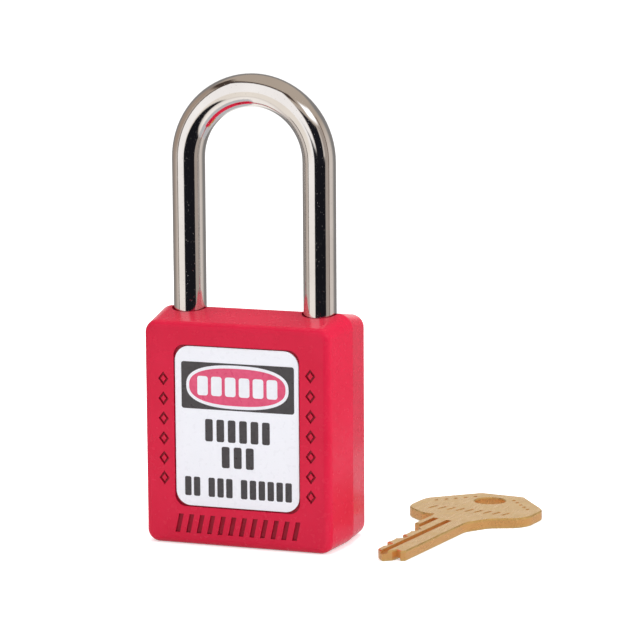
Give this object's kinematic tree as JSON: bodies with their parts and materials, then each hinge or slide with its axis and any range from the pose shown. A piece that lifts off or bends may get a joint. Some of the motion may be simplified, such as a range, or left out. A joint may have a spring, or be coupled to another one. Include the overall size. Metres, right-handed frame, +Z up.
{
  "type": "safety padlock",
  "caption": "Safety lockout padlock with a drafted moulded body, a slim round chromed shackle, a label recess on each face, a pin cylinder and a flat brass key.",
  "frame": {"origin": "centre of the body's flat bottom face, on its mid-plane", "axes": "+Z up along the shackle's legs, +X towards the toe leg, -Y out of the front label"},
  "size_m": [0.0675, 0.0545, 0.0893],
  "materials": {
    "red_body": "satin moulded",
    "label": "smooth printed film",
    "chromed_steel": "polished plate",
    "key_brass": "satin, lightly blotched",
    "brass": "turned",
    "die_cast": "as cast",
    "steel": "bright zinc"
  },
  "bodies": {
    "lock_body": {"housing": "red_body", "bottom_cover": "red_body", "cover_rivets": "steel", "front_label": "label", "back_label": "label", "cylinder_shell": "die_cast", "chamber_cover": "brass", "ball_guide": "die_cast", "shackle_spring": "steel", "driver_pin_1": "brass", "driver_pin_2": "brass", "driver_pin_3": "brass", "driver_pin_4": "brass", "driver_pin_5": "brass", "driver_pin_6": "brass", "pin_spring_1": "steel", "pin_spring_2": "steel", "pin_spring_3": "steel", "pin_spring_4": "steel", "pin_spring_5": "steel", "pin_spring_6": "steel"},
    "plug_turning": {"plug": "brass", "plug_clip": "steel", "cam": "die_cast", "key_pin_1": "brass", "key_pin_2": "brass", "key_pin_3": "brass", "key_pin_4": "brass", "key_pin_5": "brass", "key_pin_6": "brass"},
    "ball_left_body": {"ball_left": "steel"},
    "ball_right_body": {"ball_right": "steel"},
    "spring_follower": {"spring_cup": "steel"},
    "shackle_body": {"shackle": "chromed_steel"},
    "loose_key": {"key": "key_brass"}
  },
  "joints": [
    {"name": "plug_turn", "type": "hinge", "parent": "lock_body", "child": "plug_turning", "pos_m": [0, 0, 0.001], "axis": [0, 0, 1], "range_deg": [0, 90]},
    {"name": "ball_left_slide", "type": "slide", "parent": "lock_body", "child": "ball_left_body", "axis": [-1, 0, 0], "range_m": [0, 0.00145]},
    {"name": "ball_right_slide", "type": "slide", "parent": "lock_body", "child": "ball_right_body", "axis": [1, 0, 0], "range_m": [0, 0.00145]},
    {"name": "shackle_lift", "type": "slide", "parent": "lock_body", "child": "spring_follower", "axis": [0, 0, 1], "range_m": [0, 0.0106], "deforming": ["shackle_spring"]},
    {"name": "shackle_swing", "type": "hinge", "parent": "spring_follower", "child": "shackle_body", "pos_m": [-0.01325, 0, 0.017], "axis": [0, 0, 1], "continuous": true},
    {"name": "key_tip", "type": "hinge", "parent": "lock_body", "child": "loose_key", "pos_m": [0.0293, -0.0111, 0], "axis": [0.9815, -0.1916, 0], "range_deg": [0, 26]}
  ],
  "couplings": [
    {"joint": "ball_left_slide", "follows": "plug_turn", "m_per_rad": 0.000923},
    {"joint": "ball_right_slide", "follows": "plug_turn", "m_per_rad": 0.000923}
  ]
}
